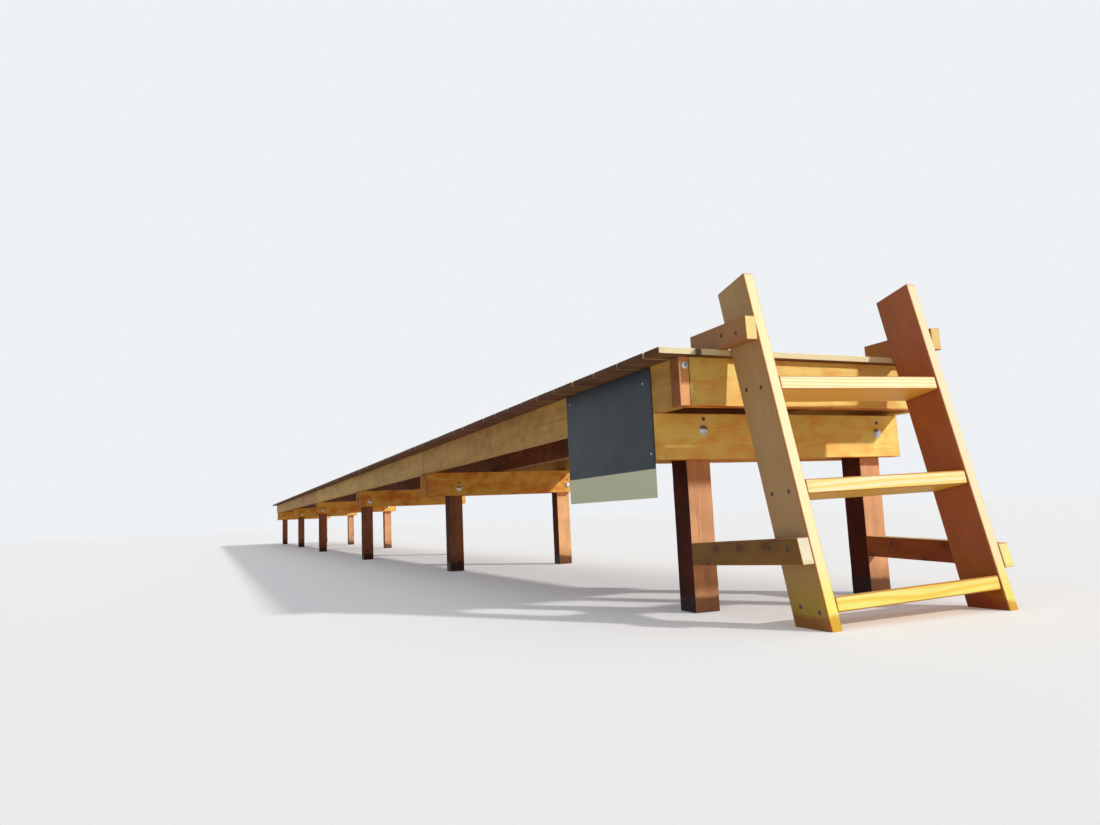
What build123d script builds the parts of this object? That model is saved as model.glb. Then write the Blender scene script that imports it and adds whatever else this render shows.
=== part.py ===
# A wooden jetty: six pile bents carry three runs of stringers and a plank deck,
# and a raked boarding ladder is braced to the deck and the first two piles.
# Millimetres. +Y runs along the deck from the ladder's end to the far end, +Z is up,
# and z = 0 is the level floor, where every pile and both ladder rails are cut off flat.

import os
from math import cos, radians, sin, tan

from build123d import *

# Timber sections
pile_size = 125
beam_height = 200
beam_thick = 63
plank_width = 225
plank_thick = 27

# Levels and widths
cross_beam_top = 853
frame_width = 1370
pile_top_drop = 8

# Bents: the set-out distance from one front cross beam's face to the next, how far
# each bay as built is off it, and how far each pile stands in from its beams' ends
bay_length = 4000
bay_shifts = [-140, -600, 280, 170, 340]
pile_insets_left = [190, 205, 50, 45, 105, 120]
pile_insets_right = [75, 10, 60, 75, 60, 75]

# Ends of the frame
end_reach = 222
splice_gap = 3

# Deck planks
plank_gap = 6
first_plank_width = 118
narrowest_plank = 60
side_overhang_left = 115
side_overhang_right = 15
end_overhang = 40

# Ladder
rail_depth = 188
rail_thick = 52
rail_head = 251
ladder_opening = 818
ladder_rake = 12.3
ladder_roll = 1.3
ladder_clearance = 1
foot_margin = 108
arris_radius = 7
step_depth = 176
step_thick = 56
step_tilt = 9
step_setback = 2
step_tops = {"bottom": 115, "middle": 533, "top": 935}
brace_height = 95
brace_thick = 52
upper_brace_front = 184
upper_brace_back = 204
lower_brace_front = {"left": 277, "right": 207}
lower_brace_back = {"left": 249, "right": 232}

# Sign
sign_width = 875
sign_height = 555
sign_thick = 4
sign_start = 0
sign_drop = 3
sign_corner_radius = 6

# Worked out from the sizes above, x from the frame's left side and y from the first bent
bent_depth = 2 * beam_thick + pile_size
deck_underside = cross_beam_top + beam_height
deck_top = deck_underside + plank_thick
bays = [bay_length + shift for shift in bay_shifts]
bent_fronts = [sum(bays[:index]) for index in range(len(bays) + 1)]
frame_start = -end_reach
frame_end = bent_fronts[-1] + bent_depth + end_reach
deck_start = frame_start - end_overhang
deck_end = frame_end + end_overhang
plank_length = side_overhang_left + frame_width + side_overhang_right
ladder_width = 2 * rail_thick + ladder_opening
ladder_inset = (frame_width - ladder_width) / 2
rake = radians(ladder_rake)
roll = radians(ladder_roll)
tilt = radians(step_tilt)

# The rails' back faces lean against the deck's front edge, and their front faces
# reach the floor furthest out, at the higher side of the rolled ladder
rails_touch = deck_start - ladder_clearance
foot_run = deck_top * tan(rake) / cos(roll) + rail_depth / cos(rake)
foot_skew = (ladder_width - arris_radius) * sin(roll) * tan(rake)
ladder_front = rails_touch - foot_run - foot_skew

# The origin is the middle of the whole jetty's outline in plan
centre_x = plank_length / 2 - side_overhang_left
centre_y = (ladder_front + deck_end) / 2


def at(x, y, z):
    """A point given from the frame's left side and the first bent, moved to the origin."""
    return (x - centre_x, y - centre_y, z)


def block(x, y, z, width, depth, height):
    """Extrude a plain timber in the active part, from its low corner."""
    middle = at(x + width / 2, y + depth / 2, z)
    with BuildSketch(Plane.XY.move(Location(middle))) as section:
        Rectangle(width, depth)
    extrude(section.sketch, amount=height)


def save(piece, label):
    piece.part.label = label
    export_step(piece.part, f"parts/{label}.step")


def make_pile(number, side, x, y):
    with BuildPart() as pile:
        block(x, y, 0, pile_size, pile_size, cross_beam_top - pile_top_drop)
    save(pile, f"pile_{number}_{side}")


def make_cross_beam(number, face, y):
    with BuildPart() as beam:
        block(0, y, cross_beam_top - beam_height, frame_width, beam_thick, beam_height)
    save(beam, f"cross_beam_{number}_{face}")


def make_bent(number, y, inset_left, inset_right):
    """Two piles clamped between a front and a rear cross beam."""
    pile_y = y + beam_thick
    make_pile(number, "left", inset_left, pile_y)
    make_pile(number, "right", frame_width - inset_right - pile_size, pile_y)
    make_cross_beam(number, "front", y)
    make_cross_beam(number, "rear", pile_y + pile_size)


def make_stringer(label, x):
    """One run of joists, butted over the middle of each inner bent."""
    middles = [front + bent_depth / 2 for front in bent_fronts[1:-1]]
    starts = [frame_start + beam_thick] + [middle + splice_gap / 2 for middle in middles]
    ends = [middle - splice_gap / 2 for middle in middles] + [frame_end - beam_thick]
    with BuildPart() as stringer:
        for start, end in zip(starts, ends):
            block(x, start, cross_beam_top, beam_thick, end - start, beam_height)
    save(stringer, label)


def make_rim_board(label, y):
    with BuildPart() as rim:
        block(0, y, cross_beam_top, frame_width, beam_thick, beam_height)
    save(rim, label)


def plank_spans():
    """The front and back of each deck plank, the last one ripped to fit."""
    spans = [(deck_start, deck_start + first_plank_width)]
    start = spans[0][1] + plank_gap
    while deck_end - start >= narrowest_plank:
        spans.append((start, min(start + plank_width, deck_end)))
        start += plank_width + plank_gap
    return spans


def make_deck_bay(number, low, high):
    """The planks whose middles lie over one bay of the frame."""
    with BuildPart() as deck:
        for start, end in plank_spans():
            if low <= (start + end) / 2 < high:
                block(-side_overhang_left, start, deck_underside, plank_length, end - start, plank_thick)
    save(deck, f"deck_bay_{number}")


def ladder_plane(across):
    """The ladder's side plane: its x runs along the deck, its y up, its z across."""
    sideways = Vector(cos(roll), 0, sin(roll))
    corner = Vector(*at(ladder_inset, rails_touch, deck_top)) + sideways * across
    return Plane(origin=corner, x_dir=(0, 1, 0), z_dir=sideways)


def rail_back(height):
    """The rails' back line in the side plane, at a height from the deck's top."""
    return height * tan(rake)


def rail_front(height):
    return rail_back(height) - rail_depth / cos(rake)


def extrude_outline(across, corners, thickness):
    """Extrude a closed outline, drawn in the ladder's side plane, across it."""
    with BuildSketch(ladder_plane(across)) as outline:
        with BuildLine():
            Polyline(*corners, close=True)
        make_face()
    extrude(outline.sketch, amount=thickness)


def make_ladder_rail(side, across):
    """A raked plank with eased edges, cut flat at the floor."""
    head_back = (rail_head * sin(rake), rail_head * cos(rake))
    head_front = (head_back[0] - rail_depth * cos(rake), head_back[1] + rail_depth * sin(rake))
    foot = -deck_top - foot_margin
    with BuildPart() as rail:
        extrude_outline(
            across,
            [head_back, head_front, (rail_front(foot), foot), (rail_back(foot), foot)],
            rail_thick,
        )
        fillet(rail.edges(), radius=arris_radius)
        split(bisect_by=Plane.XY, keep=Keep.TOP)
    save(rail, f"ladder_rail_{side}")


def make_ladder_step(name, top):
    """A tread between the rails, its front edge just behind their front faces."""
    height = top - deck_top
    front = rail_front(height) + step_setback
    back = (step_depth * cos(tilt), -step_depth * sin(tilt))
    down = (-step_thick * sin(tilt), -step_thick * cos(tilt))
    corners = [
        (front, height),
        (front + back[0], height + back[1]),
        (front + back[0] + down[0], height + back[1] + down[1]),
        (front + down[0], height + down[1]),
    ]
    with BuildPart() as step:
        extrude_outline(rail_thick, corners, ladder_opening)
        long_edges = step.edges().filter_by(lambda edge: edge.length > ladder_opening - arris_radius)
        fillet(long_edges, radius=arris_radius)
    save(step, f"ladder_step_{name}")


def brace_across(side):
    """Where a brace starts across the ladder: each lies on a rail's outer face."""
    if side == "left":
        return -brace_thick
    return ladder_width


def make_upper_brace(side):
    """A short bearer that lies on the deck and is screwed to a rail's side."""
    across = brace_across(side)
    low_edge = max(-across * tan(roll), -(across + brace_thick) * tan(roll))
    top = low_edge + brace_height
    with BuildPart() as brace:
        extrude_outline(
            across,
            [
                (-upper_brace_front, low_edge),
                (upper_brace_back, low_edge),
                (upper_brace_back, top),
                (-upper_brace_front, top),
            ],
            brace_thick,
        )
        fillet(brace.edges(), radius=arris_radius / 2)
    save(brace, f"ladder_brace_upper_{side}")


def make_lower_brace(side):
    """A brace from a rail's outer face to the front face of a first pile."""
    across = brace_across(side)
    lift = across * sin(roll)
    half = brace_height / 2
    front_height = (lower_brace_front[side] - deck_top - lift) / cos(roll)
    back_height = (lower_brace_back[side] - deck_top - lift) / cos(roll)
    pile_face = beam_thick - rails_touch
    with BuildPart() as brace:
        extrude_outline(
            across,
            [
                (rail_front(front_height - half), front_height - half),
                (pile_face, back_height - half),
                (pile_face, back_height + half),
                (rail_front(front_height + half), front_height + half),
            ],
            brace_thick,
        )
        pile_end = brace.faces().sort_by(Axis.Y)[-1]
        fillet(brace.edges() - pile_end.edges(), radius=arris_radius / 2)
    save(brace, f"ladder_brace_lower_{side}")


def make_sign():
    """A thin blank plate on the outer face of the left stringer."""
    top = deck_underside - sign_drop
    middle = at(0, sign_start + sign_width / 2, top - sign_height / 2)
    with BuildPart() as sign:
        with BuildSketch(Plane(origin=middle, x_dir=(0, -1, 0), z_dir=(-1, 0, 0))):
            RectangleRounded(sign_width, sign_height, sign_corner_radius)
        extrude(amount=sign_thick)
    save(sign, "sign_panel")


os.makedirs("parts", exist_ok=True)

for index, bent_front in enumerate(bent_fronts):
    make_bent(index + 1, bent_front, pile_insets_left[index], pile_insets_right[index])

make_stringer("stringer_left", 0)
make_stringer("stringer_middle", (frame_width - beam_thick) / 2)
make_stringer("stringer_right", frame_width - beam_thick)
make_rim_board("rim_board_water", frame_start)
make_rim_board("rim_board_shore", frame_end - beam_thick)

bay_limits = [deck_start] + [front + bent_depth / 2 for front in bent_fronts[1:-1]] + [deck_end]
for index in range(len(bays)):
    make_deck_bay(index + 1, bay_limits[index], bay_limits[index + 1])

make_ladder_rail("left", 0)
make_ladder_rail("right", rail_thick + ladder_opening)
for name, top in step_tops.items():
    make_ladder_step(name, top)
for side in ("left", "right"):
    make_upper_brace(side)
    make_lower_brace(side)
make_sign()
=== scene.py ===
# %% [markdown]
# # A wooden jetty with a boarding ladder
# The jetty is a row of six pile bents that carry three runs of joists and a plank deck.
# A raked ladder leans on one end of the deck. The CAD model gives every timber's
# place, and this lesson dresses those timbers: it models each one again with eased
# arrises, a little of sawn wood's unevenness, its bolts and screws, and its grain.
# All lengths are metres, +Y runs along the deck from the ladder's end and +Z is up.

# %% Load the frame
import random
from math import atan2, cos, pi, radians, sin, tan
from types import SimpleNamespace

import bpy
import numpy as np
from mathutils import Matrix, Vector


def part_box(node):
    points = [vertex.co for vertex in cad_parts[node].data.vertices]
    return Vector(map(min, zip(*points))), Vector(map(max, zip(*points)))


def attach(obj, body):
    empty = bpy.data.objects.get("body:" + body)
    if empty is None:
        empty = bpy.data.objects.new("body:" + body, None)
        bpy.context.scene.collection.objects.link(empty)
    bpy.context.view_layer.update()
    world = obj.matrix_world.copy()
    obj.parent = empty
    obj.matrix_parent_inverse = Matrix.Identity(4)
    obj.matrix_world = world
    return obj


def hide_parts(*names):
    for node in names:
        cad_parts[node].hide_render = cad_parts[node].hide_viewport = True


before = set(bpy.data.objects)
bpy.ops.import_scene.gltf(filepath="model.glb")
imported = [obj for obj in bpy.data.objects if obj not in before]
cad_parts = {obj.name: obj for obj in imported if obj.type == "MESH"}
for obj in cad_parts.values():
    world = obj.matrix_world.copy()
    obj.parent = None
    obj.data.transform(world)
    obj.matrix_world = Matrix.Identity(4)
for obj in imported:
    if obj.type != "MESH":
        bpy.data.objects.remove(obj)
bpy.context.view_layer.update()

# %% [markdown]
# ## The camera
# The picture was taken low down beside the ladder, looking up a little along the deck.
# The camera's place, its three angles and its lens were solved from the photograph's
# perspective, so a camera object gets them as they are. A camera looks down its own -Z
# with +Y up, so its rotation is built from its right, up and backward directions.

# %% Camera
image_width = 1100
focal_pixels = 803.86
sensor_width = 36.0
heading = radians(23.129)
pitch = radians(7.351)
camera_roll = radians(-2.507)

ahead = Vector((sin(heading) * cos(pitch), cos(heading) * cos(pitch), sin(pitch)))
level_right = Vector((cos(heading), -sin(heading), 0))
level_up = level_right.cross(ahead)
right = level_right * cos(camera_roll) + level_up * sin(camera_roll)
up = level_up * cos(camera_roll) - level_right * sin(camera_roll)

eye = Vector((-2.3619, -12.8698, 0.4381))
lens = bpy.data.cameras.new("picture_camera")
lens.sensor_width = sensor_width
lens.lens = focal_pixels * sensor_width / image_width
lens.clip_end = 500
camera = bpy.data.objects.new("picture_camera", lens)
bpy.context.scene.collection.objects.link(camera)
turn = Matrix((right, up, -ahead)).transposed().to_4x4()
camera.matrix_world = Matrix.Translation(eye) @ turn
bpy.context.scene.camera = camera
print("lens", round(lens.lens, 2), "mm")

# %% [markdown]
# ## Light
# The real jetty stands in a low, clear sun that comes over the camera's right side:
# faces towards the ladder's end glow and the long left side is in shade. The studio
# keeps that direction. A narrow sun lamp is the key, a broad one from above lights the
# floor and the deck, and the world fills the shadows. A sun lamp doesn't fade with
# distance, which matters on something 21 metres long.

# %% Lamps
def add_sun(name, strength, spread, elevation, azimuth, colour):
    """A sun lamp that shines from an azimuth round -Y and a height over the horizon."""
    lamp = bpy.data.lights.new(name, "SUN")
    lamp.energy = strength
    lamp.angle = radians(spread)
    lamp.color = colour
    sun = bpy.data.objects.new(name, lamp)
    a, e = radians(azimuth), radians(elevation)
    towards = Vector((sin(a) * cos(e), -cos(a) * cos(e), sin(e)))
    sun.rotation_mode = "QUATERNION"
    sun.rotation_quaternion = towards.to_track_quat("Z", "Y")
    bpy.context.scene.collection.objects.link(sun)


add_sun("key_light", strength=2.45, spread=3, elevation=26.5, azimuth=36.5,
        colour=(1.0, 0.97, 0.90))
add_sun("top_light", strength=0.55, spread=70, elevation=80, azimuth=40,
        colour=(1.0, 0.99, 0.97))
bpy.context.scene.view_settings.view_transform = "Standard"
print("2 sun lamps")

# %% [markdown]
# ## Shaders written as arithmetic
# A tree of nodes is easier to read as a formula. A Wire is the output of a node, and
# adding or multiplying wires lays the Math nodes for it. A Sheet is the tree they are
# laid on, with a short name for each kind of node that this lesson uses.

# %% Wires and sheets
class Wire:
    """A node's output that can stand in a Python expression, which adds Math nodes."""

    def __init__(self, sheet, socket):
        self.sheet = sheet
        self.socket = socket

    def maths(self, operation, *values):
        sockets = dict(enumerate(values))
        return self.sheet.node("ShaderNodeMath", {"operation": operation}, sockets)

    def __add__(self, other):
        return self.maths("ADD", self, other)

    def __sub__(self, other):
        return self.maths("SUBTRACT", self, other)

    def __rsub__(self, other):
        return self.maths("SUBTRACT", other, self)

    def __mul__(self, other):
        return self.maths("MULTIPLY", self, other)

    def __truediv__(self, other):
        return self.maths("DIVIDE", self, other)

    def __pow__(self, other):
        return self.maths("POWER", self, other)

    __radd__ = __add__
    __rmul__ = __mul__


class Sheet:
    """A node tree to lay nodes on: one call adds a node, sets it and wires it up."""

    def __init__(self, tree):
        self.tree = tree

    def node(self, kind, settings=(), sockets=(), output=0):
        made = self.tree.nodes.new(kind)
        for name, value in dict(settings).items():
            setattr(made, name, value)
        for name, value in dict(sockets).items():
            self.join(value, made.inputs[name])
        return Wire(self, made.outputs[output])

    def join(self, value, socket):
        if isinstance(value, Wire):
            self.tree.links.new(value.socket, socket)
        else:
            socket.default_value = value

    def step(self, value, low, high):
        """0 below low, 1 above high and smooth between; low may be above high."""
        sockets = {"Value": value, "From Min": low, "From Max": high}
        return self.node("ShaderNodeMapRange", {"interpolation_type": "SMOOTHSTEP"}, sockets)

    def point(self, x, y, z):
        return self.node("ShaderNodeCombineXYZ", (), {"X": x, "Y": y, "Z": z})

    def parts(self, vector):
        split = self.node("ShaderNodeSeparateXYZ", (), {0: vector}).socket.node
        return [Wire(self, output) for output in split.outputs]

    def spot(self):
        """The point that is being shaded, in the object's own coordinates."""
        return self.node("ShaderNodeTexCoord", (), (), "Object")

    def blend(self, factor, first, second, mode="MIX"):
        """Mix two colours. The Mix node keeps its colour sockets at 6, 7 and output 2."""
        settings = {"data_type": "RGBA", "blend_type": mode}
        return self.node("ShaderNodeMix", settings, {0: factor, 6: first, 7: second}, 2)

    def tint(self, colour, tint):
        return self.blend(1.0, colour, tint, "MULTIPLY")

    def noise(self, vector, scale=1.0, detail=2.0):
        sockets = {"Vector": vector, "Scale": scale, "Detail": detail}
        return self.node("ShaderNodeTexNoise", (), sockets)


# %% [markdown]
# ## World and floor
# The world lights the model dimly but shows brightly, and the floor is pale where it is
# seen and a warm sand for the light that bounces off it onto the timber. Both tell the
# two cases apart by the kind of ray that meets them.

# %% World
def seen_or_mirrored(sheet):
    """1 for rays that draw the background: from the camera, or off a glossy surface."""
    light_path = sheet.node("ShaderNodeLightPath").socket.node
    seen = Wire(sheet, light_path.outputs["Is Camera Ray"])
    return seen.maths("MAXIMUM", seen, Wire(sheet, light_path.outputs["Is Glossy Ray"]))


world = bpy.data.worlds.new("studio")
bpy.context.scene.world = world
world.use_nodes = True
sheet = Sheet(world.node_tree)
sky = world.node_tree.nodes["Background"]
shown = seen_or_mirrored(sheet)
fill = 0.25
fill_colour = (0.86, 0.87, 0.88, 1)
backdrop_colour = (0.86, 0.88, 0.90, 1)
sheet.join(sheet.blend(shown, fill_colour, backdrop_colour), sky.inputs["Color"])
sheet.join(shown * (1 - fill) + fill, sky.inputs["Strength"])
print("world lights at", fill, "and shows at 1.0")

# %% A finish to paint with
def new_finish(name):
    """A material with an empty sheet of nodes and its Principled shader."""
    material = bpy.data.materials.new(name)
    material.use_nodes = True
    return material, Sheet(material.node_tree), material.node_tree.nodes["Principled BSDF"]


def srgb(red, green, blue):
    """A colour as a paint program shows it, 0 to 255, turned into linear light."""
    linear = [((value / 255 + 0.055) / 1.055) ** 2.4 for value in (red, green, blue)]
    return (*linear, 1)


# %% Floor
floor_finish, sheet, shader = new_finish("studio_floor")
shown = seen_or_mirrored(sheet)
sand = (0.82, 0.64, 0.44, 1)
pale_floor = (0.93, 0.93, 0.93, 1)
no_glow = (0, 0, 0, 1)
floor_glow = (0.13, 0.14, 0.16, 1)
sheet.join(sheet.blend(shown, sand, pale_floor), shader.inputs["Base Color"])
sheet.join(sheet.blend(shown, no_glow, floor_glow), shader.inputs["Emission Color"])
shader.inputs["Emission Strength"].default_value = 1.0
shader.inputs["Roughness"].default_value = 0.9

bpy.ops.object.select_all(action="DESELECT")
bpy.ops.mesh.primitive_circle_add(vertices=96, radius=160, fill_type="NGON")
floor = bpy.context.object
floor.name = "studio_floor"
floor.data.materials.append(floor_finish)
print("floor at z = 0")

# %% [markdown]
# ## Sawn timber
# Every timber starts as a cube primitive stretched to its size. Edges that run one way
# are subdivided, a Bevel modifier eases the arrises, and later a Displace modifier lets
# the faces stray by a millimetre or so, as sawn wood does. Grain has to follow each
# piece, however it is turned, so each mesh carries an attribute that says where a point
# lies along, across and through its own timber, shifted at random so that no two
# timbers show the same figure.

# %% Helpers for any piece
draw = random.Random(21)
along_x = Vector((1, 0, 0))
along_y = Vector((0, 1, 0))
along_z = Vector((0, 0, 1))


def select_only(*pieces):
    """Select just these pieces and make the first one active."""
    bpy.ops.object.select_all(action="DESELECT")
    for piece in pieces:
        piece.select_set(True)
    bpy.context.view_layer.objects.active = pieces[0]


def own_copy(piece):
    """A copy of a piece, with a mesh of its own."""
    copy = piece.copy()
    copy.data = piece.data.copy()
    bpy.context.scene.collection.objects.link(copy)
    return copy


def join_pieces(name, pieces):
    """Join pieces into one, as a node of the frame holds them."""
    select_only(*pieces)
    if len(pieces) > 1:
        bpy.ops.object.join()
    pieces[0].name = name
    return pieces[0]


def apply_modifier(piece, kind, **settings):
    bpy.context.view_layer.objects.active = piece
    modifier = piece.modifiers.new(kind.lower(), kind)
    for name, value in settings.items():
        setattr(modifier, name, value)
    bpy.ops.object.modifier_apply(modifier=modifier.name)


def ease_edges(piece, width, segments):
    """Round every edge that turns by more than 60 degrees."""
    limits = {"limit_method": "ANGLE", "angle_limit": radians(60)}
    apply_modifier(piece, "BEVEL", width=width, segments=segments, **limits)


def choose_edges(piece, way):
    """Select only the edges that run one way, and stay in edit mode."""
    mesh = piece.data
    bpy.ops.object.mode_set(mode="EDIT")
    bpy.ops.mesh.select_mode(type="EDGE")
    bpy.ops.mesh.select_all(action="DESELECT")
    bpy.ops.object.mode_set(mode="OBJECT")
    for edge in mesh.edges:
        first, second = (mesh.vertices[index].co for index in edge.vertices)
        edge.select = abs((second - first).normalized().dot(way)) > 0.9
    bpy.ops.object.mode_set(mode="EDIT")


def cut_edges(piece, way, cuts):
    """Subdivide the edges that run one way, each by the same number of cuts."""
    choose_edges(piece, way)
    bpy.ops.mesh.subdivide(number_cuts=cuts)
    bpy.ops.object.mode_set(mode="OBJECT")


def smooth(piece, angle):
    """Shade faces as one surface where they turn by less than an angle in degrees."""
    select_only(piece)
    bpy.ops.object.shade_smooth_by_angle(angle=radians(angle))


# %% Helpers for sawn timber
cuts_across = 3


def mark_grain(piece, along, wide, pith=0.09):
    """Store each point's place in its timber, and the timber's tone and end distance."""
    mesh = piece.data
    through = along.cross(wide)
    points = np.empty(len(mesh.vertices) * 3, np.float32)
    mesh.vertices.foreach_get("co", points)
    points = points.reshape(-1, 3)
    axes = np.array([along, wide, through]).T
    place = (points - points.mean(0)) @ axes
    to_end = np.minimum(place[:, 0] - place[:, 0].min(), place[:, 0].max() - place[:, 0])
    shift = [draw.uniform(0, 40), draw.uniform(-0.5, 0.5) * pith, draw.uniform(0.4, 1.3) * pith]
    tone = [draw.random(), draw.random()]
    grain = mesh.attributes.new("grain", "FLOAT_VECTOR", "POINT")
    grain.data.foreach_set("vector", (place + shift).astype(np.float32).ravel())
    board = mesh.attributes.new("board", "FLOAT_VECTOR", "POINT")
    facts = np.column_stack([np.tile(tone, (len(points), 1)), to_end])
    board.data.foreach_set("vector", facts.astype(np.float32).ravel())


def sawn_timber(name, length, width, thick, arris, spacing):
    """A timber along X, its width along Y, with eased arrises and about a cut a spacing."""
    bpy.ops.object.select_all(action="DESELECT")
    bpy.ops.mesh.primitive_cube_add(size=1)
    timber = bpy.context.object
    timber.name = name
    timber.scale = (length, width, thick)
    bpy.ops.object.transform_apply(location=False, rotation=False, scale=True)
    cut_edges(timber, along_x, max(1, round(length / spacing)))
    cut_edges(timber, along_y, cuts_across)
    ease_edges(timber, arris, segments=2)
    return timber


def timber_in_box(name, low, high, arris, spacing, seats=(), order=None):
    """A sawn timber laid in a box, its length and width along the box's longer sides,
    unless an order of the three axes is given. The grain follows the length."""
    size = high - low
    order = order or sorted(range(3), key=lambda axis: -size[axis])
    timber = sawn_timber(name, *(size[axis] for axis in order), arris, spacing)
    along, wide = ((along_x, along_y, along_z)[axis] for axis in order[:2])
    facing = Matrix((along, wide, along.cross(wide))).transposed().to_4x4()
    timber.data.transform(Matrix.Translation((low + high) / 2) @ facing)
    if seats:
        bore(timber, seats)
    mark_grain(timber, along, wide)
    return timber


def finish_piece(piece, node, material, stray=0.0015, grain_size=0.25):
    """Let the faces stray inwards a little, shade them, and put the piece on the body."""
    if stray:
        cloud = bpy.data.textures.new(piece.name, "CLOUDS")
        cloud.noise_scale = grain_size
        wander = {"texture": cloud, "texture_coords": "GLOBAL", "mid_level": 1.0}
        apply_modifier(piece, "DISPLACE", strength=stray, **wander)
    smooth(piece, angle=50)
    apply_modifier(piece, "WEIGHTED_NORMAL", keep_sharp=True)
    if material:
        piece.data.materials.append(material)
    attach(piece, "root")
    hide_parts(node)


# %% [markdown]
# ## Wood, painted by its growth rings
# A log grows a ring a year round its pith, so a point's ring depends on its distance
# from a line along the timber. Long, slow noise makes that line wander, which draws
# the tongues and stripes of a flat-sawn face, and the same rings meet the end grain
# as arcs without any extra work. Finer noise drawn out along the timber gives fibres,
# scattered cells give knots that push the rings aside, and broad noise gives stains.

# %% Masks of wood
def wood_masks(sheet, ring, knots, knot_gap, knot_size):
    """A timber's rings, fibres, stains, knots, specks and ends, as numbers on its faces."""
    place = sheet.node("ShaderNodeAttribute", {"attribute_name": "grain"}, (), "Vector")
    facts = sheet.node("ShaderNodeAttribute", {"attribute_name": "board"}, (), "Vector")
    x, y, z = sheet.parts(place)
    lightness, warmth, to_end = sheet.parts(facts)

    cells = {
        "Vector": sheet.point(x * 0.65, y + z * 0.3, 0.0),
        "Scale": 1 / knot_gap,
        "Randomness": 0.9,
    }
    cell = sheet.node("ShaderNodeTexVoronoi", {"voronoi_dimensions": "2D"}, cells)
    chance, size = sheet.parts(Wire(sheet, cell.socket.node.outputs["Color"]))[:2]
    reach = cell * knot_gap
    is_knot = sheet.step(chance, 1 - knots, 1.01 - knots) * sheet.step(to_end, 0.003, 0.006)
    knot = sheet.step(reach / ((size * 0.8 + 0.6) * knot_size), 1.3, 0.6) * is_knot
    push = sheet.step(reach, 0.055, 0.0) * is_knot

    wander = sheet.noise(sheet.point(x * 0.9, y * 5, z * 5), detail=2.0) - 0.5
    radius = (y * y + z * z) ** 0.5 + wander * 0.05 + x * 0.004 + push * 0.02
    phase = (radius / ring).maths("FRACT", radius / ring)
    dots = sheet.node("ShaderNodeTexVoronoi", (), {"Vector": place, "Scale": 62.0})
    dot_chance = sheet.parts(Wire(sheet, dots.socket.node.outputs["Color"]))[0]
    return SimpleNamespace(
        lightness=lightness, warmth=warmth, to_end=to_end, knot=knot, push=push, wander=wander,
        late=sheet.step(phase, 0.35, 0.92) * sheet.step(phase, 1.0, 0.93),
        band=sheet.noise(sheet.point(x * 0.4, radius * 45, 0.0), detail=1.0),
        fibres=sheet.noise(sheet.point(x * 9, y * 330, z * 330), detail=3.0) - 0.5,
        stains=sheet.noise(sheet.point(x * 1.3, y * 7, z * 7), detail=3.0) - 0.5,
        clouds=sheet.noise(sheet.point(x * 9, y * 14, z * 14), detail=4.0) - 0.5,
        strokes=sheet.noise(sheet.point(x * 170, y * 4, z * 4), detail=2.0) - 0.5,
        specks=sheet.step(dots, 0.18, 0.08) * sheet.step(dot_chance, 0.93, 0.95),
    )


# %% [markdown]
# ## One recipe, many woods
# The masks mix a pale and a deep colour, and then the wood gets its history and some painted
# light. Faces turned towards the key light are paler, partly sun bleaching and partly painted
# sunlight, so a normal that points that way lightens them; faces turned down get a brighter
# orange, which is painted bounce light; an arris between them gets a thin darker orange line,
# which is painted half-shade; end grain drinks the oil and goes dark; and the feet are damp
# and then wet. Every timber finish of the jetty is this one recipe with other colours and
# other amounts.

# %% Arrises and feet
# This mask places a thin line of painted half-shade on the rounded corners.
def arris_half_shade_mask(sheet, facing):
    """1 where the surface turns a corner, so that its normal lies between two faces'."""
    turns = []
    for part in (facing[0], facing[2]):
        slant = part.maths("ABSOLUTE", part)
        turns.append(sheet.step(slant, 0.25, 0.35) * sheet.step(slant, 0.98, 0.94))
    return turns[0].maths("MAXIMUM", *turns)


def wet_foot(sheet, wood, colour, level, reach, wet_tint, damp_tint):
    """A colour that is damp near a level and wet below it, and a mask of where it is wet."""
    height = sheet.parts(sheet.spot())[2]
    damp = sheet.step(height + wood.wander * 0.08, level + reach, level)
    colour = sheet.blend(damp * 0.8, colour, sheet.tint(colour, damp_tint))
    ragged = height + wood.wander * 0.05 + wood.stains * 0.08 + wood.fibres * 0.02
    wet = sheet.step(ragged, level + 0.014, level - 0.012)
    return sheet.blend(wet, colour, sheet.tint(colour, wet_tint)), wet


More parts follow.
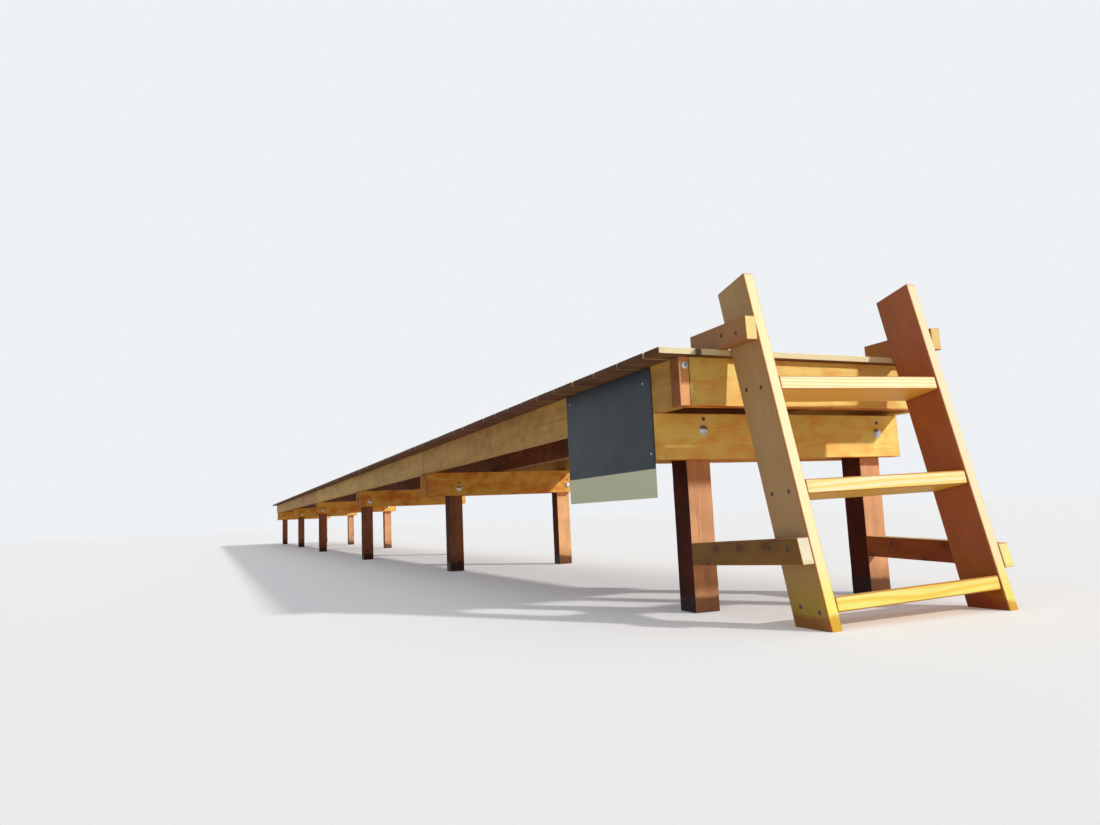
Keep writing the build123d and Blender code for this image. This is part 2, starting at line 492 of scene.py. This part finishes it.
# %% The timber finish
def timber_finish(name, colours, fade_and_sunlight=0.85, mottle=0.45, streak=None, edge=None, bounce_underside=None,
                  ring=0.006, figure=0.5, fibre=0.35, stain=0.4, cloud=0.6,
                  knots=0.25, knot_gap=0.25, knot_size=0.008, specks=0.0, sawn=0.0,
                  tone=0.25, end_shade=0.5, foot=None, rough=0.6, gloss=0.25, relief=0.0004):
    """A timber's material. Its colours are pale and deep wood, knots, and the paler colour
    of faces turned to the key light, partly sun bleaching and partly painted sunlight.
    """
    material, sheet, shader = new_finish(name)
    shader.inputs["Specular IOR Level"].default_value = gloss
    pale, deep, knot, bleach_and_sunlight = [srgb(*colour) for colour in colours]
    wood = wood_masks(sheet, ring, knots, knot_gap, knot_size)
    amount = wood.late * wood.band * figure * 1.6 + wood.fibres * fibre + wood.strokes * sawn
    amount = amount + wood.stains * stain + wood.clouds * (stain * cloud) + wood.push * 0.25
    amount = sheet.step(amount, -0.35, 0.75)
    colour = sheet.blend(amount, pale, deep)

    facing = sheet.parts(sheet.node("ShaderNodeNewGeometry", (), (), "Normal"))
    # Faces turned towards the key light get a paler colour: partly sun bleaching, partly painted
    # sunlight.
    painted_sun_mask = sheet.step(facing[1] * -0.85 + facing[0] * 0.3 + facing[2] * 0.45, 0.15, 0.7)
    # Faces turned down get a brighter orange: painted bounce light.
    if bounce_underside:
        down = sheet.step(facing[2], -0.5, -0.9)
        colour = sheet.blend(down, colour, sheet.blend(amount * 0.1, srgb(*bounce_underside), deep))
    streaked = srgb(*streak) if streak else pale
    bleached_and_sunlit = sheet.blend(amount * mottle, bleach_and_sunlight, streaked)
    colour = sheet.blend(painted_sun_mask * fade_and_sunlight, colour, bleached_and_sunlit)
    # A darker orange on the arrises: painted half-shade.
    if edge:
        colour = sheet.blend(arris_half_shade_mask(sheet, facing) * 0.8, colour, srgb(*edge))
    if specks:
        colour = sheet.blend(wood.specks * specks, colour, knot)
    colour = sheet.blend(wood.knot * 0.85, colour, knot)
    hue = wood.warmth * 0.02 + 0.49
    value = wood.lightness * tone + (1 - tone / 2)
    varied = {"Hue": hue, "Value": value, "Color": colour}
    colour = sheet.node("ShaderNodeHueSaturation", (), varied)

    end_grain = sheet.step(wood.to_end, 0.004, 0.0015)
    drying = sheet.step(wood.to_end + wood.wander * 0.02, 0.05, 0.0) * 0.2
    end_tint = (end_shade, end_shade * 0.9, end_shade * 0.8, 1)
    dark = sheet.tint(colour, end_tint)
    colour = sheet.blend(end_grain * 0.9 + drying * (1 - end_grain), colour, dark)
    wet = 0.0
    if foot:
        colour, wet = wet_foot(sheet, wood, colour, *foot)
    sheet.join(colour, shader.inputs["Base Color"])
    roughness = wood.fibres * 0.2 + wood.late * 0.05 - wet * 0.35 + rough
    sheet.join(roughness, shader.inputs["Roughness"])
    height = wood.fibres * 0.8 + wood.late * 0.5 - wood.knot * 0.4 + end_grain * wood.fibres
    bump = {"Height": height + wood.strokes * (sawn * 3), "Distance": relief, "Strength": 1.0}
    sheet.join(sheet.node("ShaderNodeBump", (), bump), shader.inputs["Normal"])
    return material


# %% Woods of the frame
framing = {
    "ring": 0.005, "figure": 0.22, "stain": 1.2, "cloud": 1.6, "knots": 0.0, "specks": 0.3,
    "sawn": 0.08, "relief": 0.0005, "mottle": 0.6, "fade_and_sunlight": 0.9,
}
honey = timber_finish(
    "honey_timber", ((248, 168, 74), (196, 106, 38), (92, 42, 16), (255, 238, 138)),
    **{**framing, "stain": 1.1, "cloud": 2.6, "mottle": 0.55})
# The beams of the inner bents get a darker, blotchier copy of the honey wood: painted shade under
# the deck, with blotches that stand in for dappled water light.
shade_and_dapple_amber = timber_finish(
    "amber_shade_and_dapple_timber", ((240, 156, 58), (158, 88, 28), (80, 36, 14), (255, 214, 104)),
    **{**framing, "stain": 1.7, "cloud": 2.0, "mottle": 0.95})
# The outer joists get a greener copy of the frame wood, which stands in for the green shade on
# the long side: a painted shade colour.
green_shade_khaki = timber_finish(
    "khaki_green_shade_timber", ((222, 184, 108), (164, 120, 60), (88, 50, 22), (250, 208, 116)),
    **{**framing, "cloud": 0.9, "sawn": 0.04})
# The middle joist gets a much darker copy of the wood: painted shade under the deck.
under_deck_shade_umber = timber_finish(
    "umber_painted_shade_timber", ((132, 80, 38), (94, 48, 18), (60, 28, 12), (196, 140, 76)), **framing)
rim_end = timber_finish(
    "rim_end_timber", ((226, 150, 98), (180, 106, 68), (100, 36, 28), (255, 190, 132)),
    **{**framing, "specks": 1.0, "end_shade": 0.45})
print("5 woods for beams and joists")

# %% Woods of the piles and the deck
rough_sawn = {
    "rough": 0.75, "relief": 0.001, "stain": 1.3, "cloud": 1.0, "sawn": 0.25, "specks": 0.7,
    "gloss": 0.15, "foot": (0.07, 0.11, (0.3, 0.24, 0.22, 1), (0.6, 0.55, 0.52, 1)),
}
# Two copies of one pile wood: a paler one for piles that the key light reaches, which is painted
# sunlight, and a darker one for the rest, which is painted shade.
painted_shade_pile = timber_finish(
    "painted_shade_pile_timber", ((100, 52, 40), (54, 30, 23), (34, 18, 13), (206, 142, 116)),
    fade_and_sunlight=0.6, **rough_sawn)
painted_sun_pile = timber_finish(
    "painted_sun_pile_timber", ((100, 50, 38), (54, 28, 21), (34, 18, 13), (255, 198, 148)),
    fade_and_sunlight=0.9, mottle=0.38, **rough_sawn)
# The deck's front edges take its pale colour almost fully: painted sunlight as well as bleaching.
weathered = timber_finish(
    "weathered_timber", ((150, 106, 78), (82, 56, 44), (50, 30, 20), (255, 246, 206)),
    fade_and_sunlight=0.98, mottle=0.12, rough=0.75, relief=0.0007, stain=0.9, sawn=0.1, specks=0.3,
    tone=0.15, figure=0.7)
print("2 woods for piles, 1 for the deck")

# %% Woods of the ladder
# The ladder's edge colour is painted half-shade along its rounded arrises.
planed = {
    "fade_and_sunlight": 0.95, "mottle": 0.3, "edge": (196, 112, 42), "fibre": 0.25, "stain": 0.6,
    "knots": 0.0, "end_shade": 0.92, "rough": 0.5, "gloss": 0.3, "relief": 0.0002,
    "foot": (0.045, 0.24, (0.82, 0.5, 0.2, 1), (0.93, 1.0, 0.18, 1)),
}
calm = {**planed, "ring": 0.0035, "figure": 0.1, "mottle": 0.6}
lively = {**planed, "ring": 0.011, "figure": 0.9, "stain": 0.9, "mottle": 0.8}
knotty = {
    **planed, "ring": 0.004, "figure": 0.3, "stain": 0.9, "knots": 0.85, "knot_gap": 0.1,
    "knot_size": 0.013,
}
tan_rail = timber_finish(
    "tan_rail_timber", ((204, 174, 132), (154, 128, 90), (110, 66, 36), (244, 242, 200)),
    streak=(252, 226, 130), **calm)
russet_rail = timber_finish(
    "russet_rail_timber", ((204, 128, 86), (138, 78, 50), (84, 36, 18), (250, 244, 208)),
    streak=(255, 226, 150), **calm)
# The treads' underside colour is painted bounce light.
golden = timber_finish(
    "golden_timber", ((240, 164, 82), (196, 114, 48), (112, 56, 22), (254, 254, 218)),
    bounce_underside=(255, 212, 90), streak=(255, 218, 86), **lively)
brace_woods = {
    ("upper", "left"): (calm, ((182, 138, 92), (134, 96, 58), (90, 50, 28), (255, 252, 176))),
    ("upper", "right"): (calm, ((222, 138, 74), (168, 92, 42), (100, 48, 22), (254, 246, 172))),
    ("lower", "left"): (knotty, ((164, 116, 44), (112, 70, 20), (106, 50, 6), (255, 255, 234))),
    ("lower", "right"): (knotty, ((186, 98, 34), (130, 58, 14), (110, 48, 14), (254, 250, 180))),
}
brace_finishes = {}
for (level, side), (character, colours) in brace_woods.items():
    name = f"{level}_{side}_brace_timber"
    brace_finishes[level, side] = timber_finish(name, colours, **character)
print("3 woods for rails and treads,", len(brace_finishes), "for braces")

# %% [markdown]
# ## Bolts and screws
# Every fastener is turned: a circle is extruded and scaled ring by ring along its
# profile and closed at the end, and a drive recess is pinched into its last rings. One
# of each kind is modelled at the origin, its head along +Z, and copied to its places.
# Carriage bolts clamp the beams to the piles with a low dome outside and a nut on a
# washer inside. Washer-headed screws hold the rim boards. The screws of the ladder and
# the beams sit in bored seats, which a Boolean cuts for real, and the deck's are flush.

# %% Metal, and painted shade round a screw
def metal_finish(name, dull, bright, dirt, metallic, rough):
    """Zinc in small spangles, with grime over it."""
    material, sheet, shader = new_finish(name)
    spot = sheet.spot()
    spangle = sheet.noise(spot, 260.0, 2.0) - 0.5
    grime = sheet.step(sheet.noise(spot, 40.0, 3.0), 0.45, 0.75)
    zinc = sheet.blend(spangle + 0.5, dull, bright)
    sheet.join(sheet.blend(grime * 0.35, zinc, dirt), shader.inputs["Base Color"])
    sheet.join(spangle * 0.3 + grime * 0.2 + rough, shader.inputs["Roughness"])
    shader.inputs["Metallic"].default_value = metallic
    return material


steel = metal_finish("galvanised_steel", srgb(186, 192, 200), srgb(226, 230, 236),
                     srgb(116, 112, 110), metallic=0.8, rough=0.34)
# Dark steel stands in for the shade in drive recesses and sunk heads: painted shade, with grime
# over it.
shade_dark_steel = metal_finish("grime_and_shade_steel", srgb(80, 78, 90), srgb(132, 132, 146),
                          srgb(44, 38, 36), metallic=0.5, rough=0.45)

# The dark wood round a sunk screw is painted shade in its seat.
painted_seat_shade, sheet, shader = new_finish("screw_seat_shade")
seat_noise = sheet.noise(sheet.spot(), 300.0, 2.0)
sheet.join(sheet.blend(seat_noise, srgb(40, 22, 18), srgb(74, 42, 30)), shader.inputs["Base Color"])
sheet.join(seat_noise * 0.2 + 0.7, shader.inputs["Roughness"])
print("3 finishes for fasteners")

# %% Fastener helpers
recess_lobes = 6
recess_rings = 2
recess_pinch = 0.72
bore_radius = 0.0081
bore_depth = 0.003


def upright_at(point, outward):
    """The place of a fastener: its foot at a point, its head along outward."""
    outward = Vector(outward).normalized()
    turned_to = outward.to_track_quat("Z", "Y").to_matrix().to_4x4()
    return Matrix.Translation(point) @ turned_to


def turned(name, profile, sides, recessed=False):
    """Turn a profile of (radius, height) rings; the last rings may be a lobed recess."""
    bpy.ops.object.select_all(action="DESELECT")
    radius, height = profile[0]
    bpy.ops.mesh.primitive_circle_add(vertices=sides, radius=radius, location=(0, 0, height))
    piece = bpy.context.object
    piece.name = name
    bpy.ops.object.transform_apply(location=True)
    bpy.ops.object.mode_set(mode="EDIT")
    bpy.ops.mesh.select_all(action="SELECT")
    for next_radius, next_height in profile[1:]:
        share = next_radius / radius
        rise = {"value": (0, 0, next_height - height)}
        bpy.ops.mesh.extrude_region_move(TRANSFORM_OT_translate=rise)
        middle = (0, 0, next_height)
        bpy.ops.transform.resize(value=(share, share, 1), center_override=middle)
        radius, height = next_radius, next_height
    bpy.ops.mesh.edge_face_add()
    bpy.ops.object.mode_set(mode="OBJECT")
    if recessed:
        period = sides // recess_lobes
        for vertex in list(piece.data.vertices)[-sides * recess_rings:]:
            turn_share = atan2(vertex.co.y, vertex.co.x) / (2 * pi) * sides
            if round(turn_share) % period >= period / 2:
                vertex.co.xy = vertex.co.xy * recess_pinch
    return piece


def place_fasteners(name, pattern, places):
    """Copy a pattern to each place, join the copies and put them on the body."""
    copies = []
    for place in places:
        copy = own_copy(pattern)
        copy.data.transform(place @ Matrix.Rotation(draw.uniform(0, 2 * pi), 4, "Z"))
        copies.append(copy)
    joined = join_pieces(name, copies)
    smooth(joined, angle=32)
    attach(joined, "root")


def bore(timber, seats):
    """Cut a round seat for each screw, with a Boolean against a set of short cylinders."""
    drills = []
    for seat in seats:
        bpy.ops.mesh.primitive_cylinder_add(vertices=20, radius=bore_radius, depth=bore_depth * 2)
        drills.append(bpy.context.object)
        drills[-1].matrix_world = seat
        bpy.ops.object.transform_apply()
    drill = join_pieces("drill", drills)
    apply_modifier(timber, "BOOLEAN", operation="DIFFERENCE", solver="EXACT", object=drill)
    bpy.data.objects.remove(drill)


# %% One of each fastener
dome_bolt = turned("dome_bolt", [
    (0.0226, -0.0005), (0.0226, 0.0012), (0.0218, 0.0017), (0.0206, 0.0020), (0.0201, 0.0042),
    (0.0183, 0.0074), (0.0150, 0.0102), (0.0106, 0.0122), (0.0058, 0.0134), (0.0018, 0.0138)], 24)
washer_nut = turned("washer_nut", [
    (0.0185, -0.0005), (0.0185, 0.0026), (0.0180, 0.0030), (0.0116, 0.0030), (0.0116, 0.0128),
    (0.0104, 0.0136), (0.0060, 0.0136), (0.0060, 0.0190), (0.0052, 0.0198)], 24)
washer_screw = turned("washer_screw", [
    (0.0158, -0.0004), (0.0160, 0.0010), (0.0154, 0.0022), (0.0104, 0.0030), (0.0092, 0.0050),
    (0.0052, 0.0054), (0.0050, 0.0014)], 24, recessed=True)
sunk_screw = turned("sunk_screw", [
    (0.0085, 0.0002), (0.0068, -0.0024), (0.0064, -0.0024), (0.0062, -0.0015), (0.0057, -0.0011),
    (0.0032, -0.0013), (0.0031, -0.0030)], 18, recessed=True)
deck_screw = turned("deck_screw", [
    (0.0044, -0.0006), (0.0042, 0.0004), (0.0022, 0.0004), (0.0018, -0.0008)], 8)
panel_screw = turned("panel_screw", [
    (0.0052, -0.0002), (0.0052, 0.0006), (0.0042, 0.0020), (0.0024, 0.0027), (0.0022, 0.0008)],
    18, recessed=True)
patterns = (dome_bolt, washer_nut, washer_screw, sunk_screw, deck_screw, panel_screw)
print(len(patterns), "fasteners")

# %% Steel, and painted shade in recesses and seats
recess_radius = {washer_screw: 0.0056, sunk_screw: 0.0035, panel_screw: 0.0026}
seat_radius = 0.0066
for pattern in patterns:
    for material in (steel, shade_dark_steel, painted_seat_shade):
        pattern.data.materials.append(material)
    for face in pattern.data.polygons:
        corners = [pattern.data.vertices[index].co.xy for index in face.vertices]
        middle = sum(corners, Vector((0, 0))) / len(corners)
        reach = max(corner.length for corner in corners)
        # Recess faces and whole sunk heads take the dark steel, painted shade in their hollows; a
        # sunk screw's outer ring takes the dark seat wood, painted shade in the seat.
        if reach < recess_radius.get(pattern, 0) or pattern is sunk_screw:
            face.material_index = 1
        if pattern is sunk_screw and middle.length > seat_radius:
            face.material_index = 2
print("fasteners painted")

# %% [markdown]
# ## Piles and cross beams
# Two beams clamp each pair of piles. The piles are rough-sawn, so they get closer cuts
# and stray further; the beams are straighter. Each takes its box from its own node.

# %% Piles
bents = range(1, 7)
sides = ("left", "right")
for number in bents:
    for side in sides:
        node = f"pile_{number}_{side}"
        low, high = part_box(node)
        post = timber_in_box(f"post_{number}_{side}", low, high, arris=0.004, spacing=0.04)
        # Piles on the lit side get the paler copy (painted sunlight), the others the darker copy
        # (painted shade).
        gets_sunlit_copy = side == "right" or number == 1
        wood = painted_sun_pile if gets_sunlit_copy else painted_shade_pile
        finish_piece(post, node, wood, stray=0.003, grain_size=0.06)
print("12 posts")

# %% Places of the bolts and screws through the beams
# A bent's left and right bolt, each as (distance from the frame's left side, height).
# Other bents have a bolt in the middle of each pile, a little off as a drill strays.
bolt_height = 0.716
bolt_places = {
    1: ((0.247, 0.779), (1.232, 0.766)),
    2: ((0.279, 0.712), (1.317, 0.716)),
    3: ((0.127, 0.715), (1.25, 0.72)),
}
tack_aside, tack_above = 0.004, 0.05
frame_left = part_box("cross_beam_1_front")[0].x
domes, nuts, tacks = [], [], []
for number in bents:
    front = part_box(f"cross_beam_{number}_front")[0].y
    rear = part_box(f"cross_beam_{number}_rear")[1].y
    for index, side in enumerate(sides):
        low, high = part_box(f"pile_{number}_{side}")
        x = (low.x + high.x) / 2 + draw.uniform(-0.01, 0.01)
        z = bolt_height + draw.uniform(-0.006, 0.006)
        if number in bolt_places:
            x, z = bolt_places[number][index]
            x += frame_left
        domes.append(upright_at((x, front, z), (0, -1, 0)))
        nuts.append(upright_at((x, rear, z), (0, 1, 0)))
        tacks.append(upright_at((x + tack_aside, front, z + tack_above), (0, -1, 0)))
print(len(domes), "bolts")

# %% Cross beams
for number in bents:
    for face in ("front", "rear"):
        node = f"cross_beam_{number}_{face}"
        low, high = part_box(node)
        seats = tacks[2 * number - 2:2 * number] if face == "front" else ()
        name = f"beam_{number}_{face}"
        beam = timber_in_box(name, low, high, arris=0.003, spacing=0.06, seats=seats)
        # Bent 1's beams take honey; the rest take the copy with painted shade and dappled light.
        finish_piece(beam, node, honey if number == 1 else shade_and_dapple_amber)
place_fasteners("beam_bolts", dome_bolt, domes)
place_fasteners("beam_nuts", washer_nut, nuts)
place_fasteners("beam_screws", sunk_screw, tacks)
print("12 beams")

# %% [markdown]
# ## Joists, rim boards and deck
# The joists are butted in lengths over the inner bents, so each run is several timbers
# joined into one piece, and so is each bay of deck planks. A rim board is one timber
# with a block of another colour at its left end. One plank is modelled for each width
# and copied, each copy with its own mesh and its own grain.

# %% Joists
runs = ("left", "middle", "right")
splice_gap = 0.003
middles = []
for number in bents[1:-1]:
    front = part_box(f"cross_beam_{number}_front")[0].y
    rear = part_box(f"cross_beam_{number}_rear")[1].y
    middles.append((front + rear) / 2)
joist_lines = []
for run in runs:
    low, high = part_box(f"stringer_{run}")
    joist_lines.append((low.x + high.x) / 2)
    starts = [low.y] + [middle + splice_gap / 2 for middle in middles]
    ends = [middle - splice_gap / 2 for middle in middles] + [high.y]
    lengths = []
    for start, end in zip(starts, ends):
        first, last = Vector((low.x, start, low.z)), Vector((high.x, end, high.z))
        lengths.append(timber_in_box(f"joist_{run}", first, last, arris=0.003, spacing=0.08))
    joist = join_pieces(f"joists_{run}", lengths)
    # The middle run takes the painted-shade wood, and the outer runs take the greener copy with
    # its painted shade colour.
    wood = under_deck_shade_umber if run == "middle" else green_shade_khaki
    finish_piece(joist, f"stringer_{run}", wood)
print(len(joist_lines), "runs of joists")

# %% Rim boards
rim_end_width = 0.05
rim_arris = 0.0015
rim_screw_height = 1.018
rim_screw_inset = (0.030, 0.033)
level_grain = (0, 2, 1)
places = []
for end, outward in (("water", -1), ("shore", 1)):
    low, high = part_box(f"rim_board_{end}")
    seam_top = Vector((low.x + rim_end_width, high.y, high.z))
    seam_foot = Vector((low.x + rim_end_width, low.y, low.z))
    end_block = timber_in_box("rim_end", low, seam_top, rim_arris, 0.012, order=level_grain)
    board = timber_in_box("rim_board", seam_foot, high, rim_arris, 0.06)
    end_block.data.materials.append(rim_end)
    board.data.materials.append(honey)
    rim = join_pieces(f"rim_{end}", [end_block, board])
    finish_piece(rim, f"rim_board_{end}", None)
    y = low.y if outward < 0 else high.y
    for x in (low.x + rim_screw_inset[0], high.x - rim_screw_inset[1]):
        places.append(upright_at((x, y, rim_screw_height), (0, outward, 0)))
place_fasteners("rim_screws", washer_screw, places)
print("2 rim boards")

# %% Set out the planks
plank_width = 0.225
plank_gap = 0.006
first_width = 0.118
least_width = 0.06
deck_low, deck_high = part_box("deck_bay_1")
deck_start = deck_low.y
deck_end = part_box("deck_bay_5")[1].y
spans = [(deck_start, deck_start + first_width)]
while deck_end - spans[-1][1] > least_width:
    start = spans[-1][1] + plank_gap
    spans.append((start, min(start + plank_width, deck_end)))
print(len(spans), "planks")

# %% Deck planks
end_play = 0.004
plank_length = deck_high.x - deck_low.x - end_play
plank_thick = deck_high.z - deck_low.z
screw_inset = 0.03
screw_aim = 0.004
screw_sink = 0.0008
plain_planks = {}
for bay in range(1, 6):
    bay_low, bay_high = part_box(f"deck_bay_{bay}")
    bay_spans = [span for span in spans if bay_low.y < sum(span) / 2 < bay_high.y]
    planks = []
    for start, end in bay_spans:
        width = round(end - start, 4)
        if width not in plain_planks:
            size = (plank_length, width, plank_thick)
            plain = sawn_timber(f"plank_{width}", *size, arris=0.0025, spacing=0.1)
            plain_planks[width] = plain
        plank = own_copy(plain_planks[width])
        mark_grain(plank, along_x, along_y, 0.12)
        aside = draw.uniform(-0.0015, 0.0015)
        centre = Vector((aside, (start + end) / 2, (bay_low.z + bay_high.z) / 2))
        lean = Matrix.Rotation(draw.uniform(-0.0006, 0.0006), 4, "Z")
        plank.data.transform(Matrix.Translation(centre) @ lean)
        planks.append(plank)
    places = []
    for start, end in bay_spans:
        for line in joist_lines:
            for edge in (start + screw_inset, end - screw_inset):
                x = line + draw.uniform(-screw_aim, screw_aim)
                y = edge + draw.uniform(-screw_aim, screw_aim)
                places.append(upright_at((x, y, bay_high.z - screw_sink), (0, 0, 1)))
    deck = join_pieces(f"planks_bay_{bay}", planks)
    finish_piece(deck, f"deck_bay_{bay}", weathered, grain_size=0.2)
    place_fasteners(f"screws_bay_{bay}", deck_screw, places)
    print("bay", bay, "has", len(planks), "planks and", len(places), "screws")
for plain_plank in plain_planks.values():
    bpy.data.objects.remove(plain_plank)

# %% [markdown]
# ## The ladder
# The ladder is raked back 12.3 degrees against the deck's front edge, and as a whole it
# leans 1.3 degrees sideways. So its boards are drawn flat in the ladder's own side plane
# and pushed out across it, and only then moved to their place. The rails are cut off
# level at the floor.

# %% The ladder's sizes and its side plane
rake = radians(12.3)
lean = radians(1.3)
step_tilt = radians(9)
rail_depth, rail_thick, rail_head = 0.188, 0.052, 0.251
ladder_opening = 0.818
ladder_width = 2 * rail_thick + ladder_opening
ladder_inset = 0.224
deck_clearance = 0.001
ladder_arris = 0.007
planed_stray = 0.0004
foot_margin = 0.108
deck_top = deck_high.z
corner = Vector((frame_left + ladder_inset, deck_start - deck_clearance, deck_top))
across = Vector((cos(lean), 0, sin(lean)))
side_up = Vector((-sin(lean), 0, cos(lean)))
side_plane = Matrix((along_y, side_up, across)).transposed().to_4x4()
side_plane.translation = corner
print("ladder stands at x", round(corner.x, 3))

# %% Ladder helpers
ladder_screw_places = []


def rail_front(height):
    """Where the rails' front edge is along the deck, at a height in the side plane."""
    return height * tan(rake) - rail_depth / cos(rake)


def ladder_board(name, corners, start, thick, along, wide, rounding, side=None, screws=()):
    """Draw a board's outline in the side plane, extrude it across and round its edges.
    Screws are points on its outer face: each gets a bored seat and a place in the list."""
    bpy.ops.object.select_all(action="DESELECT")
    bpy.ops.mesh.primitive_plane_add(size=1)
    board = bpy.context.object
    board.name = name
    loops = board.data.polygons[0].loop_indices
    around = [board.data.loops[index].vertex_index for index in loops]
    for vertex, (x, y) in zip(around, corners):
        board.data.vertices[vertex].co = (x, y, start)
    bpy.ops.object.mode_set(mode="EDIT")
    bpy.ops.mesh.select_all(action="SELECT")
    bpy.ops.mesh.extrude_region_move(TRANSFORM_OT_translate={"value": (0, 0, thick)})
    bpy.ops.mesh.select_all(action="SELECT")
    bpy.ops.mesh.normals_make_consistent(inside=False)
    bpy.ops.object.mode_set(mode="OBJECT")
    cut_edges(board, along, cuts=10)
    ease_edges(board, rounding, segments=4)
    if side:
        outer = start if side == "left" else start + thick
        outward = -along_z if side == "left" else along_z
        seats = [upright_at((x, y, outer), outward) for x, y in screws]
        bore(board, seats)
        ladder_screw_places.extend(side_plane @ seat for seat in seats)
    mark_grain(board, along, wide, 0.1)
    board.data.transform(side_plane)
    return board


# %% Rails
rail_way = Vector((sin(rake), cos(rake), 0))
rail_wide = Vector((cos(rake), -sin(rake), 0))
head_back = rail_way * rail_head
head_front = head_back - rail_wide * rail_depth
foot = -deck_top - foot_margin
rail_outline = [
    (rail_front(foot), foot), (foot * tan(rake), foot), head_back.xy, head_front.xy,
]
rail_finishes = {"left": tan_rail, "right": russet_rail}
step_screws = [
    (-0.085, -0.180), (-0.175, -0.185), (-0.180, -0.596),
    (-0.277, -0.590), (-0.280, -1.005), (-0.377, -1.018),
]
for side, start in (("left", 0.0), ("right", rail_thick + ladder_opening)):
    rail = ladder_board(f"rail_{side}", rail_outline, start, rail_thick,
                        rail_way, rail_wide, ladder_arris, side, step_screws)
    bpy.context.view_layer.objects.active = rail
    bpy.ops.object.mode_set(mode="EDIT")
    bpy.ops.mesh.select_all(action="SELECT")
    floor_cut = {"plane_co": (0, 0, 0), "plane_no": (0, 0, 1)}
    bpy.ops.mesh.bisect(use_fill=True, clear_inner=True, **floor_cut)
    bpy.ops.object.mode_set(mode="OBJECT")
    wood = rail_finishes[side]
    finish_piece(rail, f"ladder_rail_{side}", wood, stray=planed_stray)
print("2 rails")

# %% Steps
step_depth, step_thick, step_setback = 0.176, 0.056, 0.002
for name, top in (("bottom", 0.115), ("middle", 0.533), ("top", 0.935)):
    height = top - deck_top
    front = Vector((rail_front(height) + step_setback, height, 0))
    back = Vector((cos(step_tilt), -sin(step_tilt), 0)) * step_depth
    down = Vector((-sin(step_tilt), -cos(step_tilt), 0)) * step_thick
    outline = [point.xy for point in (front, front + down, front + back + down, front + back)]
    step = ladder_board(f"tread_{name}", outline, rail_thick, ladder_opening,
                        along_z, back.normalized(), ladder_arris)
    finish_piece(step, f"ladder_step_{name}", golden, stray=planed_stray)
print("3 treads")

# %% Upper bearers and lower braces
# The upper ones lie level on the deck. The lower ones reach from the rails to the first
# piles, each at its own slope, so they have a height in front and one at the back.
brace_height, brace_thick = 0.095, 0.052
upper_front, upper_back = 0.184, 0.204
upper_screws = ((-0.024, 0.050), (-0.119, 0.039))
lower_screws = ((-0.206, 0.004), (-0.303, 0.006))
lower_front = {"left": 0.277, "right": 0.207}
lower_back = {"left": 0.249, "right": 0.232}
pile_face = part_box("pile_1_left")[0].y - corner.y
half = brace_height / 2
for side, start in (("left", -brace_thick), ("right", ladder_width)):
    low_edge = max(-start * tan(lean), -(start + brace_thick) * tan(lean))
    high_edge = low_edge + brace_height
    outline = [(-upper_front, low_edge), (upper_back, low_edge),
               (upper_back, high_edge), (-upper_front, high_edge)]
    screws = [(x, low_edge + above) for x, above in upper_screws]
    bearer = ladder_board(f"bearer_{side}", outline, start, brace_thick,
                          along_x, along_y, ladder_arris / 2, side, screws)
    wood = brace_finishes["upper", side]
    finish_piece(bearer, f"ladder_brace_upper_{side}", wood,
                 stray=planed_stray)
    lift = start * sin(lean)
    front_height = (lower_front[side] - deck_top - lift) / cos(lean)
    back_height = (lower_back[side] - deck_top - lift) / cos(lean)
    outline = [(rail_front(front_height - half), front_height - half),
               (pile_face, back_height - half), (pile_face, back_height + half),
               (rail_front(front_height + half), front_height + half)]
    screws = [(x, front_height + above) for x, above in lower_screws]
    brace = ladder_board(f"brace_{side}", outline, start, brace_thick,
                         along_x, along_y, ladder_arris / 2, side, screws)
    wood = brace_finishes["lower", side]
    finish_piece(brace, f"ladder_brace_lower_{side}", wood,
                 stray=planed_stray)
place_fasteners("ladder_screws", sunk_screw, ladder_screw_places)
print("2 bearers, 2 braces,", len(ladder_screw_places), "ladder screws")

# %% [markdown]
# ## The blank panel
# A thin plate hangs on the left joist. It is bare, with a wide slate band over a narrow
# sage one, as two plain paints on one sheet.

# %% The panel's paint
seam_low, seam_high = 0.6165, 0.6175
panel_finish, sheet, shader = new_finish("panel_paint")
shader.inputs["Specular IOR Level"].default_value = 0.3
spot = sheet.spot()
height = sheet.parts(spot)[2]
dust = sheet.noise(spot, 9.0, 4.0) - 0.5
slate = sheet.blend(dust * 0.4 + 0.3, srgb(26, 44, 60), srgb(38, 56, 68))
sage = sheet.blend(dust * 0.4 + 0.3, srgb(226, 246, 228), srgb(236, 252, 236))
band = sheet.step(height, seam_low, seam_high)
sheet.join(sheet.blend(band, sage, slate), shader.inputs["Base Color"])
sheet.join(dust * 0.2 + 0.45, shader.inputs["Roughness"])
print("panel paint")

# %% Panel
low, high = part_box("sign_panel")
bpy.ops.object.select_all(action="DESELECT")
bpy.ops.mesh.primitive_cube_add(size=1, location=(low + high) / 2, scale=high - low)
panel = bpy.context.object
panel.name = "panel"
bpy.ops.object.transform_apply(location=True, rotation=True, scale=True)
choose_edges(panel, along_x)
bpy.ops.mesh.bevel(offset=0.006, segments=4)
bpy.ops.object.mode_set(mode="OBJECT")
ease_edges(panel, 0.0006, segments=2)
finish_piece(panel, "sign_panel", panel_finish, stray=0)
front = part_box("cross_beam_1_front")[0].y
panel_screw_spots = ((0.833, 1.007), (0.066, 0.990), (0.028, 0.681))
places = []
for y, z in panel_screw_spots:
    places.append(upright_at((low.x, front + y, z), (-1, 0, 0)))
place_fasteners("panel_screws", panel_screw, places)
for pattern in patterns:
    bpy.data.objects.remove(pattern)
print("1 panel")
